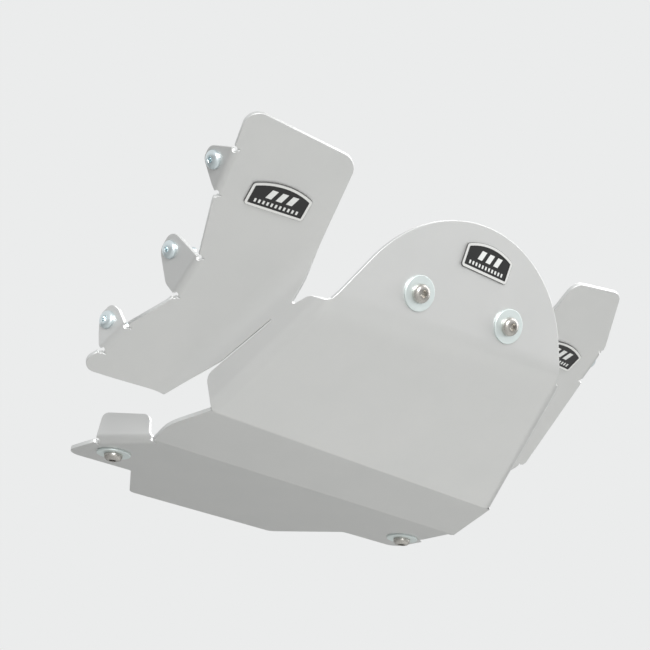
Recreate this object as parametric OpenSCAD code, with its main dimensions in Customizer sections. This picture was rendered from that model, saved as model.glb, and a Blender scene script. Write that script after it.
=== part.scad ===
// Motorcycle skid plate: one folded aluminium sheet with its screws, washers and badges.
// Frame: the belly lies in the XY plane with its outer face at z = 0 and the sheet above it.
// +X points forwards, +Y to the left of the motorcycle, +Z up.
// Every outline is drawn on the flat sheet, in millimetres forwards and to the left of the
// middle of the belly's front fold. A fold turns what lies beyond it about its own line.

/* [Sheet] */
// Thickness of the sheet
sheet_t = 3; // [2:0.5:4]
// Inner radius of the two folds at the front of the belly
belly_bend_r = 3; // [2:0.5:6]
// Inner radius of the folds between the front and its two side flanges
side_bend_r = 9; // [6:1:12]
// Inner radius of the soft fold under the tongue
tongue_bend_r = 34; // [26:1:38]
// Radius of the hollow outside of the folds between the flanges and the wings
wing_bend_r = 20; // [12:1:22]
// Inner radius of the folds of the screw tabs
tab_bend_r = 3; // [2:0.5:4]
// Radius of the round relief cut at each end of a tab fold
relief_r = 2.2; // [1.5:0.1:3]
// Width of the slot between the bend of a tab and the sheet beside it
relief_slot = 0.8; // [0.4:0.1:1.4]

/* [Belly and band] */
// Length of the belly from its front fold to its rear edge
belly_len = 134; // [120:1:150]
// Half width of the belly's rear edge
belly_rear_half_w = 66.5; // [55:0.5:75]
// Distance from the front fold to the rear edge of the two ears
ear_len = 79.5; // [72:0.5:90]
// Half width across the ears
ear_half_w = 153; // [149:0.5:160]
// Distance from the middle to where the slanted edge meets the ear
ear_root_half_w = 99.5; // [92:0.5:108]
// Radius of the ears' outer corners
ear_corner_r = 12; // [6:1:18]
// Length of the band between those two folds
band_len = 58; // [50:1:66]
// Angle at which the band rises from the belly
band_angle = 10; // [6:0.5:15]
// Half width of the sheet at the right end of the belly fold
band_right_half_w = 132.9; // [128:0.1:138]
// Half width of the sheet at the left end of the belly fold
band_left_half_w = 148.5; // [144:0.1:151]
// Half width of the band where its right edge bulges most
band_bulge_half_w = 139.5; // [136:0.5:144]

/* [Front and tongue] */
// Length of the front face between the band fold and the tongue fold
front_len = 115; // [105:1:125]
// Angle between the band and the front face
front_angle = 26; // [18:0.5:34]
// Half width of the front at the lower end of its right flange fold
front_low_right = 130; // [125:0.5:136]
// Half width of the front at the lower end of its left flange fold
front_low_left = 133.5; // [128:0.5:138]
// Distance from the tongue's radius out to the upper end of the right flange fold
front_top_over_right = 13.4; // [9:0.1:18]
// Distance from the tongue's radius out to the upper end of the left flange fold
front_top_over_left = 7.3; // [5:0.1:14]
// Angle between the front face and the tongue
tongue_angle = 35; // [25:0.5:42]
// Radius of the tongue's round top
tongue_r = 97; // [90:0.5:102]
// Height of the tongue above its fold
tongue_len = 82; // [72:0.5:95]
// Distance from the tongue's radius out to its right shoulder
shoulder_over_right = 6.6; // [3:0.1:8]
// Distance from the tongue's radius out to its left shoulder
shoulder_over_left = 4.5; // [2.5:0.1:6]

/* [Right flange and wing] */
// Angle of the right flange to the front face
right_flange_angle = 55; // [45:0.5:62]
// Depth of the right flange between its two folds
right_flange_depth = 28.6; // [26:0.1:36]
// Angle at which the right wing turns out from its flange
right_wing_angle = 48; // [38:0.5:56]
// Width of the slit that frees the wing's root from the flange
slit_w = 0.9; // [0.6:0.1:1.5]

/* [Left flange and wing] */
// Angle of the left flange to the front face
left_flange_angle = 58.5; // [48:0.5:64]
// Depth of the left flange between its two folds
left_flange_depth = 72; // [66:0.5:78]
// Angle at which the left wing turns out from its flange
left_wing_angle = 55; // [45:0.5:60]

/* [Screw tabs] */
// Angle of the upper tab of each wing
upper_tab_angle = 62; // [45:1:75]
// Angle of the middle tab of the right wing
middle_tab_angle = 66; // [45:1:78]
// Angle of the lower tab of each wing
lower_tab_angle = 72; // [50:1:80]
// Angle of the two tabs that stand up from the belly
rear_tab_angle = 90; // [75:1:92]
// Height of the two tabs that stand up from the belly
rear_tab_h = 21.5; // [16:0.5:28]

/* [Fasteners] */
// Shank diameter of the front and rear screws
screw_d = 8; // [6:0.5:8]
// Head diameter of the front and rear screws
screw_head_d = 13.2; // [12:0.1:16]
// Shank diameter of the wing screws
wing_screw_d = 6; // [5:0.5:6]
// Head diameter of the wing screws
wing_screw_head_d = 12.2; // [11:0.1:14]
// Length of a screw behind the sheet
screw_reach = 18; // [14:1:24]
// Clearance all round a screw in its hole
hole_gap = 0.4; // [0.3:0.05:0.6]
// Diameter of the washers
washer_d = 24; // [20:0.5:26]
// Thickness of the washers
washer_t = 1.6; // [1.2:0.1:2]
// Distance from the tongue fold to the two front screws
front_screw_u = 24; // [23:0.5:30]
// Distance of each front screw from the middle
front_screw_y = 39.9; // [34:0.1:46]
// Distance from the belly fold to the two rear screws
rear_screw_u = 48.9; // [44:0.1:54]
// Distance of each rear screw from the middle
rear_screw_y = 132.7; // [128:0.1:134]

/* [Badges] */
// Width of a badge
badge_w = 41.5; // [36:0.5:44]
// Height of a badge's straight sides
badge_side_h = 15.7; // [13:0.1:18]
// Height of a badge at the top of its arch
badge_h = 20.5; // [19:0.1:22]
// Thickness of a badge
badge_t = 1.2; // [0.8:0.1:1.6]
// Width of a badge's rim
badge_rim = 1.7; // [1.2:0.1:2.2]

/* [Hidden] */
$fn = 96;
// Longer than any part of the sheet, for the half planes that trim the panels
far = 400;
// Largest turn between two points of a rounded corner, in degrees
corner_step = 10;
// How far past its fold the sheet is cleared for a tab, and how far a tab's root reaches back
tab_clear = 12;
tab_root_len = 10;
// How much thinner than a panel a bend is on each face, and how far it runs into the panel
skin = 0.01;
bend_lap = 0.1;
// Sideways lean of the belly fold, the band fold and the tongue fold, in degrees
belly_skew = 1.8;
band_skew = 3.4;
tongue_skew = -1.9;
front_u0 = band_len;
front_u1 = band_len + front_len;
tongue_u = front_u1 + tongue_len - tongue_r;

// A fold is [x, y, direction, angle, radius]: what it turns lies to the left of its direction,
// and a negative angle turns it outwards.
belly_fold = [0, 0, belly_skew - 90, band_angle, belly_bend_r];
band_fold = [front_u0, 0, band_skew - 90, front_angle, belly_bend_r];
tongue_fold = [front_u1, 0, tongue_skew - 90, tongue_angle, tongue_bend_r];

// Ends of the flange folds. They keep off the band fold and the tongue fold, which lean.
right_low_off = 7.5;
left_low_off = -7.8;
right_top_off = -2.8;
left_top_off = -4.2;
right_low = [front_u0 + right_low_off, -front_low_right];
right_top = [front_u1 + right_top_off, -tongue_r - front_top_over_right];
left_low = [front_u0 + left_low_off, front_low_left];
left_top = [front_u1 + left_top_off, tongue_r + front_top_over_left];
// How far each wing fold turns from its flange fold in the flat sheet, in degrees
right_wing_fan = 1.7;
left_wing_fan = -0.4;
right_dir = heading(right_low - right_top);
left_dir = heading(left_top - left_low);
right_flange_fold = [each right_top, right_dir, right_flange_angle, side_bend_r];
left_flange_fold = [each left_low, left_dir, left_flange_angle, side_bend_r];
right_wing_fold = [each (right_top + right_flange_depth * left_of(right_dir)), right_dir + right_wing_fan,
                   -right_wing_angle, wing_bend_r];
left_wing_fold = [each (left_low + left_flange_depth * left_of(left_dir)), left_dir + left_wing_fan,
                  -left_wing_angle, wing_bend_r];

// Direction of a vector in degrees, and the unit vector to the left of a direction
function heading(v) = atan2(v[1], v[0]);
function left_of(a) = [-sin(a), cos(a)];
function unit(v) = v / norm(v);

// How far the bend reaches on each side of its fold line
function reach(f) = (f[3] > 0 ? f[4] + sheet_t : f[4]) * tan(abs(f[3]) / 2);

// A point of the flat sheet as [along, across] from a fold
function from_fold(p, f) =
    let (d = [p[0] - f[0], p[1] - f[1]], a = [cos(f[2]), sin(f[2])])
    [d * a, d * left_of(f[2])];

// Points given along and across from a fold, each with its corner radius, if any, on the flat sheet
function beside(f, points) = [for (p = points) concat(
    [f[0], f[1]] + p[0] * [cos(f[2]), sin(f[2])] + p[1] * left_of(f[2]), len(p) > 2 ? [p[2]] : [])];
function tabs_beside(f, tabs) = [for (t = tabs) [each beside(f, [t[0], t[1]]), t[2], t[3], t[4]]];

// A corner at b between a and c, rounded with radius r
function corner_arc(a, b, c, r) =
    let (u = unit(a - b), v = unit(c - b), half = acos(u * v) / 2,
         centre = b + unit(u + v) * r / sin(half),
         first = b + u * r / tan(half) - centre,
         last = b + v * r / tan(half) - centre,
         turn = sign(cross(first, last)) * (180 - 2 * half),
         steps = max(2, ceil(abs(turn) / corner_step)))
    [for (i = [0:steps]) let (a = turn * i / steps)
        centre + [first[0] * cos(a) - first[1] * sin(a), first[0] * sin(a) + first[1] * cos(a)]];

// An outline from corners [x, y] or [x, y, radius]
function outline(corners) =
    let (n = len(corners), xy = [for (c = corners) [c[0], c[1]]])
    [for (i = [0:n - 1]) let (r = len(corners[i]) > 2 ? corners[i][2] : 0)
        each (r == 0 ? [xy[i]] : corner_arc(xy[(i + n - 1) % n], xy[i], xy[(i + 1) % n], r))];

// Where the tangent from a point meets the tongue's round top, on the point's own side
function tongue_tangent(p) =
    let (c = [tongue_u, 0],
         a = heading(p - c) - sign(p[1]) * acos(tongue_r / norm(p - c)))
    c + tongue_r * [cos(a), sin(a)];

// Corners of the sheet's middle strip: tongue, front, band and belly
right_shoulder = [front_u1 + 1.5, -tongue_r - shoulder_over_right];
left_shoulder = [front_u1 - 3.6, tongue_r + shoulder_over_left];
right_rear_fold_front = [0.4, -band_right_half_w];
right_rear_fold_back = [-37.6, -ear_half_w - 1.8];
left_rear_fold_front = [-7.8, band_left_half_w];
left_rear_fold_back = [-44, ear_half_w - 2.2];
middle_outline = outline([
    tongue_tangent(left_shoulder), left_shoulder, left_top, left_low,
    left_rear_fold_front, left_rear_fold_back,
    [-ear_len, ear_half_w - 1, ear_corner_r - 2],
    [-ear_len, ear_root_half_w - 1.5, 5],
    [-belly_len, belly_rear_half_w, 8],
    [-belly_len, -belly_rear_half_w, 8],
    [-ear_len, -ear_root_half_w, 5],
    [-ear_len, -ear_half_w - 2, ear_corner_r],
    right_rear_fold_back, right_rear_fold_front,
    [band_len / 2 + 1, -band_bulge_half_w, 40],
    right_low, right_top, right_shoulder, tongue_tangent(right_shoulder)]);

// Screw tabs: both ends of the fold, angle, outline and hole. The ends are given along and across
// from the wing's fold, the outline and the hole along and across from the tab's own fold.
wing_screw_tabs_right = tabs_beside(right_wing_fold, [
    [[-39.3, 92.3], [-9.3, 79.2], upper_tab_angle,
     [[0, 3], [10, 20, 8], [20, 20.5, 6], [29.5, 6.5]], [15.5, 12]],
    [[31.6, 54.9], [62.3, 46.9], middle_tab_angle,
     [[3.5, 32, 8], [20, 31, 8], [32, 12, 8]], [13.5, 23.5]],
    [[98.9, 55.6], [123.2, 55.1], lower_tab_angle,
     [[-0.4, 15], [2.5, 22.5, 5], [14, 22.5, 7], [20.5, 12, 6], [24, 5]], [10, 14.5]]]);
wing_screw_tabs_left = tabs_beside(left_wing_fold, [
    [[78.6, 36.2], [107.2, 39.4], upper_tab_angle,
     [[0.5, 6.5], [8, 20.5, 6], [20, 20, 8], [28, 3]], [13, 12]],
    [[-31.9, 5.9], [-12.9, 24.1], lower_tab_angle,
     [[0, 8], [6, 22.5, 7], [20, 22, 7], [26, 6]], [12.5, 14.5]]]);

// The right flange and wing are one outline, with the slit between them
slit_top = [34, -14.1];
slit_low = [79, -12.1];
half_slit = [0, slit_w / 2];
right_wing_outline = outline([
    right_shoulder,
    each beside(right_flange_fold, [[-0.8, 2.8, 4], [3.5, 9.6, 8]]),
    each beside(right_wing_fold, [[18.6, -15.6, 1.2], [1.3, -10.3, 60], [-81.9, 26, 13], [-66.4, 105.6, 9]]),
    wing_screw_tabs_right[0][0], wing_screw_tabs_right[0][1],
    each beside(right_wing_fold, [[-5.1, 77.6, 4]]),
    wing_screw_tabs_right[1][0], wing_screw_tabs_right[1][1],
    each beside(right_wing_fold, [[68.7, 47.5, 8]]),
    wing_screw_tabs_right[2][0], wing_screw_tabs_right[2][1],
    each beside(right_wing_fold, [
        [143.3, 61.9, 8], [135.5, 33.4, 40], [124.8, -2.1, 1.5],
        slit_low + half_slit, slit_top + half_slit, slit_top - half_slit, slit_low - half_slit]),
    each beside(right_flange_fold, [[93.3, 19.3, 9], [106, 0], [103, -13.6]])]);

// The left flange and wing part at the end of the flange, where the wing leans inwards
left_root_end = 66.4;
left_root_gap = 1.5;
left_flange_outline = outline([
    left_shoulder, [left_top[0], left_top[1], 3],
    each beside(left_wing_fold, [[left_root_end, 0.9], [left_root_end - 10, 41],
                                 [-38.9, 17.6], [-28.9, -5.7]]),
    each beside(left_flange_fold, [[-14.5, 28.9, 30], [0, 0], [3.8, -13.5]]),
    left_shoulder - 8 * left_of(left_dir)]);
left_wing_outline = outline([
    each beside(left_wing_fold, [
        [-22.2, -40], [left_root_end, -17], [left_root_end + left_root_gap, 1.8],
        [84.4, -17.2, 20], [108.8, -28, 30], [139.4, -26.5, 40], [170.6, -19.6, 9], [163.9, 25.9, 11],
        [113.5, 39.1, 4]]),
    wing_screw_tabs_left[0][1], wing_screw_tabs_left[0][0],
    each beside(left_wing_fold, [[72.8, 36.1, 4], [-8.4, 27.4, 2]]),
    wing_screw_tabs_left[1][1], wing_screw_tabs_left[1][0],
    each beside(left_wing_fold, [[-36, 1.8, 4]])]);

// Tabs that stand up from the belly
rear_tabs = [
    [right_rear_fold_front, right_rear_fold_back, rear_tab_angle,
     [[0, 2], [3, 7, 8], [4, rear_tab_h - 2, 6], [41, rear_tab_h, 5], [44, 2]], []],
    [left_rear_fold_back, left_rear_fold_front, rear_tab_angle,
     [[0, 2], [2.5, rear_tab_h, 5], [34, rear_tab_h - 2, 6], [36, 2]], []]];

function tab_fold(t) = [each t[0], heading(t[1] - t[0]), t[2], tab_bend_r];
function tab_root(t) = norm(t[1] - t[0]);
// A tab's outline, along and across its own fold, with a root that reaches under the bend
function tab_outline(t) =
    outline([each t[3], [tab_root(t), 0], [tab_root(t), -tab_root_len], [0, -tab_root_len], [0, 0]]);

// Frames of the folded faces
module past(f) {
    translate([f[0], f[1], 0]) rotate([0, 0, f[2]]) rotate([f[3], 0, 0])
        rotate([0, 0, -f[2]]) translate([-f[0], -f[1], 0]) children();
}
module on_band() { past(belly_fold) children(); }
module on_front() { on_band() past(band_fold) children(); }
module on_tongue() { on_front() past(tongue_fold) children(); }
module on_right_flange() { on_front() past(right_flange_fold) children(); }
module on_right_wing() { on_right_flange() past(right_wing_fold) children(); }
module on_left_flange() { on_front() past(left_flange_fold) children(); }
module on_left_wing() { on_left_flange() past(left_wing_fold) children(); }
module on_tab(t) {
    f = tab_fold(t);
    translate([f[0], f[1], 0]) rotate([0, 0, f[2]]) rotate([f[3], 0, 0]) children();
}
// A place on a face, with +Z outwards
module outside(p) { translate([p[0], p[1], 0]) rotate([180, 0, 0]) children(); }

// All of the flat sheet that does not lie beyond the bend of a fold, or does not lie before it
module not_after(f) {
    translate([f[0], f[1]]) rotate(f[2]) translate([-far, reach(f) - 2 * far]) square(2 * far);
}
module not_before(f) {
    translate([f[0], f[1]]) rotate(f[2]) translate([-far, -reach(f)]) square(2 * far);
}
module tab_gap(t) {
    f = tab_fold(t);
    translate([f[0], f[1]]) rotate(f[2]) {
        translate([0, -reach(f)]) square([tab_root(t), reach(f) + tab_clear]);
        translate([-relief_slot, -reach(f)]) square([tab_root(t) + 2 * relief_slot, reach(f)]);
    }
}
// A flat panel: an outline between the bends it comes from and the bends it leads to
module panel(points, after = [], before = [], tabs = []) {
    difference() {
        linear_extrude(sheet_t) difference() {
            polygon(points);
            for (f = after) not_after(f);
            for (f = before) not_before(f);
            for (t = tabs) tab_gap(t);
        }
        for (t = tabs) for (p = [t[0], t[1]])
            translate([p[0], p[1], -1]) cylinder(r = relief_r, h = sheet_t + 2);
    }
}

// A bend along the X axis, cut to an outline that is given along and across the fold. It is
// thinner than the panels by a skin on each face, and runs into them far enough to be one with them.
module bend_strip(points, f) {
    a = abs(f[3]);
    r_low = f[4] + skin;
    t = sheet_t - 2 * skin;
    more = bend_lap / (f[4] + sheet_t) * 180 / PI;
    intersection() {
        if (f[3] > 0)
            translate([-far, -reach(f), f[4] + sheet_t]) rotate([90, 0, 90]) rotate([0, 0, -90 - more])
                rotate_extrude(angle = a + 2 * more) translate([r_low, 0]) square([t, 2 * far]);
        else
            translate([-far, -reach(f), -f[4]]) rotate([90, 0, 90]) rotate([0, 0, 90 - a - more])
                rotate_extrude(angle = a + 2 * more) translate([r_low, 0]) square([t, 2 * far]);
        rotate([f[3] / 2, 0, 0]) translate([0, 0, -far / 2]) linear_extrude(far)
            polygon([for (p = points) [p[0], p[1] * cos(a / 2)]]);
    }
}
module bend(points, f) {
    translate([f[0], f[1], 0]) rotate([0, 0, f[2]])
        bend_strip([for (p = points) from_fold(p, f)], f);
}

// A tab with its bend, in the frame of the face it grows from
module tab(t) {
    f = tab_fold(t);
    translate([f[0], f[1], 0]) rotate([0, 0, f[2]]) difference() {
        bend_strip(tab_outline(t), f);
        for (x = [0, tab_root(t)]) translate([x, 0, -1]) cylinder(r = relief_r, h = sheet_t + 2);
    }
    on_tab(t) difference() {
        linear_extrude(sheet_t) intersection() {
            polygon(tab_outline(t));
            translate([-far, reach(f)]) square(2 * far);
        }
        if (len(t[4]) > 0) translate([t[4][0], t[4][1], -1])
            cylinder(r = wing_screw_d / 2 + hole_gap, h = sheet_t + 2);
    }
}

module screw_hole(p) {
    translate([p[0], p[1], -1]) cylinder(r = screw_d / 2 + hole_gap, h = sheet_t + 2);
}
front_screws = [for (s = [-1, 1]) [front_u1 + front_screw_u, s * front_screw_y]];
rear_screws = [for (s = [-1, 1]) [-rear_screw_u, s * rear_screw_y]];

module tongue_panel() {
    difference() {
        linear_extrude(sheet_t) difference() {
            union() {
                polygon(middle_outline);
                translate([tongue_u, 0]) circle(tongue_r);
            }
            not_after(tongue_fold);
        }
        for (p = front_screws) screw_hole(p);
    }
}
module belly_panel() {
    difference() {
        panel(middle_outline, before = [belly_fold], tabs = rear_tabs);
        for (p = rear_screws) screw_hole(p);
    }
}
// The left wing: up to the end of its root it starts at the bend, and past it it leans inwards
module left_wing_panel() {
    difference() {
        linear_extrude(sheet_t) difference() {
            polygon(left_wing_outline);
            translate([left_wing_fold[0], left_wing_fold[1]]) rotate(left_wing_fold[2])
                translate([-far, reach(left_wing_fold) - far])
                    square([far + left_root_end + left_root_gap, far]);
            for (t = wing_screw_tabs_left) tab_gap(t);
        }
        for (t = wing_screw_tabs_left) for (p = [t[0], t[1]])
            translate([p[0], p[1], -1]) cylinder(r = relief_r, h = sheet_t + 2);
    }
}

module skid_plate() {
    color([0.78, 0.79, 0.79]) {
        belly_panel();
        for (t = rear_tabs) tab(t);
        bend(middle_outline, belly_fold);
        on_band() {
            panel(middle_outline, after = [belly_fold], before = [band_fold]);
            bend(middle_outline, band_fold);
        }
        on_front() {
            panel(middle_outline, after = [band_fold],
                  before = [tongue_fold, right_flange_fold, left_flange_fold]);
            bend(middle_outline, tongue_fold);
            bend(right_wing_outline, right_flange_fold);
            bend(left_flange_outline, left_flange_fold);
        }
        on_tongue() tongue_panel();
        on_right_flange() {
            panel(right_wing_outline, after = [right_flange_fold], before = [right_wing_fold]);
            bend(right_wing_outline, right_wing_fold);
        }
        on_right_wing() {
            panel(right_wing_outline, after = [right_wing_fold], tabs = wing_screw_tabs_right);
            for (t = wing_screw_tabs_right) tab(t);
        }
        on_left_flange() {
            panel(left_flange_outline, after = [left_flange_fold], before = [left_wing_fold]);
            bend(left_flange_outline, left_wing_fold);
        }
        on_left_wing() {
            left_wing_panel();
            for (t = wing_screw_tabs_left) tab(t);
        }
    }
}

// A washer that lies on the outer face, with broken edges
module washer() {
    edge = 0.3;
    color([0.84, 0.88, 0.87]) rotate_extrude() polygon([
        [screw_d / 2 + hole_gap / 2, 0], [washer_d / 2, 0], [washer_d / 2, washer_t - edge],
        [washer_d / 2 - edge, washer_t], [screw_d / 2 + hole_gap / 2, washer_t]]);
}
// A button head screw with a hexagon socket: its head stands on z = under. Its neck runs through
// the sheet and is a little thinner than the thread behind it.
neck_step = 0.3;
module screw(d, head_d, under) {
    head_h = 0.55 * d;
    rim = 0.12 * d;
    flat_r = 0.36 * d;
    edge = 0.12 * d;
    through = sheet_t + screw_reach;
    neck_end = sheet_t + 1;
    color([0.72, 0.74, 0.74]) difference() {
        union() {
            translate([0, 0, under]) rotate_extrude() polygon([
                [0, 0], [head_d / 2, 0],
                for (a = [0:15:90]) [flat_r + (head_d / 2 - flat_r) * cos(a), rim + (head_h - rim) * sin(a)],
                [0, head_h]]);
            rotate_extrude() polygon([
                [0, -through], [d / 2 - edge, -through], [d / 2, edge - through],
                [d / 2, -neck_end - neck_step], [d / 2 - neck_step, -neck_end],
                [d / 2 - neck_step, under], [0, under]]);
        }
        translate([0, 0, under + 0.2 * head_h]) cylinder(d = 0.72 * d, h = head_h, $fn = 6);
    }
}

// A badge with an arched top, standing on the middle of its lower edge
front_badge_at = [front_u1 + 50.5, 6.8];
right_badge_at = beside(right_wing_fold, [[-21.9, 42.3]])[0];
left_badge_at = beside(left_wing_fold, [[94.8, -3]])[0];
function badge_arch(inset) =
    let (rise = badge_h - badge_side_h, arch_r = (pow(badge_w / 2, 2) + rise * rise) / (2 * rise),
         half = badge_w / 2 - inset, r = arch_r - inset, end = asin(half / r))
    [for (i = [-6:6]) [r * sin(end * i / 6), badge_h - arch_r + r * cos(end * i / 6)]];
function badge_outline(inset) = outline([
    [badge_w / 2 - inset, inset, 2.4 - inset / 2], [inset - badge_w / 2, inset, 2.4 - inset / 2],
    each badge_arch(inset)]);
module badge() {
    sunk = 0.3;
    bar_w = 4;
    bar_h = 6.4;
    bar_pitch = 7.2;
    bar_y = badge_side_h / 2 + 0.6;
    lean = 2.2;
    tick = [1.3, 2.4];
    tick_pitch = 2.9;
    tick_y = 3.6;
    color([0.15, 0.15, 0.16]) {
        difference() {
            linear_extrude(badge_t) polygon(badge_outline(0));
            translate([0, 0, badge_t - sunk]) linear_extrude(1) polygon(badge_outline(badge_rim));
        }
        translate([0, 0, badge_t - 2 * sunk]) linear_extrude(1.8 * sunk) {
            for (i = [-1:1]) translate([bar_pitch * i, bar_y])
                polygon([[-bar_w / 2, 0], [bar_w / 2, 0],
                         [bar_w / 2 + lean, bar_h], [lean - bar_w / 2, bar_h]]);
            for (i = [-5:5]) translate([tick_pitch * i - tick[0] / 2, tick_y]) square(tick);
        }
    }
}
module badge_on(p, tilt) { outside(p) rotate([0, 0, tilt - 90]) badge(); }

module on_wing_screw(t) { on_tab(t) outside(t[4]) children(); }
module wing_screw() { screw(wing_screw_d, wing_screw_head_d, 0); }
module front_washer(i) { on_tongue() outside(front_screws[i]) washer(); }
module rear_washer(i) { outside(rear_screws[i]) washer(); }
module front_screw(i) { on_tongue() outside(front_screws[i]) screw(screw_d, screw_head_d, washer_t); }
module rear_screw(i) { outside(rear_screws[i]) screw(screw_d, screw_head_d, washer_t); }
module right_wing_screw(i) { on_right_wing() on_wing_screw(wing_screw_tabs_right[i]) wing_screw(); }
module left_wing_screw(i) { on_left_wing() on_wing_screw(wing_screw_tabs_left[i]) wing_screw(); }
module front_badge() { on_tongue() badge_on(front_badge_at, -2.6); }
module right_badge() { on_right_wing() badge_on(right_badge_at, 6); }
module left_badge() { on_left_wing() badge_on(left_badge_at, -5.5); }

skid_plate();
front_washer(0);  // front_washer_right
front_washer(1);  // front_washer_left
front_screw(0);  // front_screw_right
front_screw(1);  // front_screw_left
rear_washer(0);  // rear_washer_right
rear_washer(1);  // rear_washer_left
rear_screw(0);  // rear_screw_right
rear_screw(1);  // rear_screw_left
right_wing_screw(0);  // wing_screw_right_upper
right_wing_screw(1);  // wing_screw_right_middle
right_wing_screw(2);  // wing_screw_right_lower
left_wing_screw(0);  // wing_screw_left_upper
left_wing_screw(1);  // wing_screw_left_lower
front_badge();  // badge_front
right_badge();  // badge_right
left_badge();  // badge_left
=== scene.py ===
# %% [markdown]
# # A motorcycle skid plate
# A skid plate guards an off-road motorcycle from below against stones. This one is cut from one
# 3 mm aluminium sheet and folded: a flat belly, a short band, a front face with a round tongue,
# and a flange and a wing on each side. Nine button head screws hold it, and three small badges
# are stuck to it.
#
# The imported CAD part is loaded first. It gives the sizes and places.

# %% Load the imported part
import math

import bmesh
import bpy
import numpy as np
from mathutils import Matrix, Vector
from mathutils.geometry import delaunay_2d_cdt


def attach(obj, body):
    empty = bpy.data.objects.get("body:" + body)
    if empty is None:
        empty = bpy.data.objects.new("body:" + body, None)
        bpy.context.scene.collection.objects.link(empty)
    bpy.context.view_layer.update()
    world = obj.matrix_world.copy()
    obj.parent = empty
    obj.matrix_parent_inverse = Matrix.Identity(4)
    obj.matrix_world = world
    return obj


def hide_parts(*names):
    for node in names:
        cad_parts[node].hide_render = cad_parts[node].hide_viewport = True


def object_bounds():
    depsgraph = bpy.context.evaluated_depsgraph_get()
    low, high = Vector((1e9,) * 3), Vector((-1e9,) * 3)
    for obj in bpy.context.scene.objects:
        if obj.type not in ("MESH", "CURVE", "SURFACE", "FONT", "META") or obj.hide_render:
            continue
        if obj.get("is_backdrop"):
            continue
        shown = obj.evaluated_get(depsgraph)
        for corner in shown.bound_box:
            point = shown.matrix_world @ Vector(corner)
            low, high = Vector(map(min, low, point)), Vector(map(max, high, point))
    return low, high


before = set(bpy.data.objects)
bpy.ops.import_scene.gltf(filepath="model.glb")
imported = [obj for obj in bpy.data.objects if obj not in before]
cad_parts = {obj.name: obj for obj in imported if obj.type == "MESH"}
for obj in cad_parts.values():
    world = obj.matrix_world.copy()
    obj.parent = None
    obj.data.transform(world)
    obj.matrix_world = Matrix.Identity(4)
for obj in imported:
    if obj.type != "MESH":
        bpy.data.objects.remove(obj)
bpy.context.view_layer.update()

MM = 0.001

# %% [markdown]
# ## Colours and nodes
# A colour is easiest to read as the hex value that a picture shows, but shaders reckon in linear
# light, so one function turns the first into the second. Geometry trees and materials are both
# graphs of nodes, and one helper adds any node with its settings, its constants and its links.


# %% Colour and node helpers
def colour(hex_code):
    """Linear RGBA of an sRGB hex colour."""
    parts = [int(hex_code[i:i + 2], 16) / 255 for i in (1, 3, 5)]
    return [p / 12.92 if p <= 0.04045 else ((p + 0.055) / 1.055) ** 2.4 for p in parts] + [1.0]


def add(tree, kind, sockets=(), **settings):
    """A new node. A socket gets a link if its value is a node or one of its outputs, else a constant."""
    node = tree.nodes.new(kind)
    for name, value in settings.items():
        setattr(node, name, value)
    for name, value in dict(sockets).items():
        if isinstance(value, bpy.types.Node):
            value = value.outputs[0]
        if isinstance(value, bpy.types.NodeSocket):
            tree.links.new(value, node.inputs[name])
        else:
            node.inputs[name].default_value = value
    return node


def blank_material(name):
    """A material with a Principled shader, and its tree and shader to build on."""
    material = bpy.data.materials.new(name)
    material.use_nodes = True
    return material, material.node_tree, material.node_tree.nodes["Principled BSDF"]


def geometry_tree(name, inputs, output):
    """A geometry tree with its named inputs and one output. It also gives the inputs' sockets."""
    tree = bpy.data.node_groups.new(name, "GeometryNodeTree")
    for label, kind in inputs.items():
        tree.interface.new_socket(label, in_out="INPUT", socket_type="NodeSocket" + kind)
    tree.interface.new_socket(output, in_out="OUTPUT", socket_type="NodeSocketGeometry")
    return tree, add(tree, "NodeGroupInput").outputs


def new_object(name, mesh):
    made = bpy.data.objects.new(name, mesh)
    bpy.context.scene.collection.objects.link(made)
    return made


print("The grey #808080 in linear light:", round(colour("#808080")[0], 3))


# %% [markdown]
# ## Satin anodised aluminium
# The sheet is rolled aluminium, bead blasted and clear anodised. Blasting gives it an even, soft
# sheen without a grain, and the oxide layer makes it a little darker and greyer than bare metal.
# A metal's colour is its reflection, so the shader is nearly all metallic and quite rough. A
# broad, faint mottle stops it from looking like plastic, and the real blasting grit, about
# 0.1 mm, is drawn as 0.7 mm so that it shows at all. The laser-cut rim is painted a bit
# brighter, a painted highlight along the edge: an attribute called rim, stored on the mesh below,
# says where it is.

# %% Sheet material
SHEET_COLOUR = "#D5D5D4"
SHEET_SHADE = "#CFD0CF"
# Painted highlight: the rim's colour is a shade brighter than the sheet's.
RIM_HIGHLIGHT_COLOUR = "#D8D9D8"
GRIT_SIZE = 0.7 * MM
MOTTLE_SIZE = 45 * MM

sheet_metal, tree, shader = blank_material("satin_anodised_aluminium")
place = add(tree, "ShaderNodeTexCoord").outputs["Object"]
mottle = add(tree, "ShaderNodeTexNoise", {"Vector": place, "Scale": 1 / MOTTLE_SIZE, "Detail": 3.0,
                                          "Roughness": 0.55})
grit = add(tree, "ShaderNodeTexNoise", {"Vector": place, "Scale": 1 / GRIT_SIZE, "Detail": 2.0})
tint = add(tree, "ShaderNodeMix", {0: mottle.outputs["Fac"], 6: colour(SHEET_SHADE),
                                   7: colour(SHEET_COLOUR)}, data_type="RGBA").outputs[2]
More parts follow.
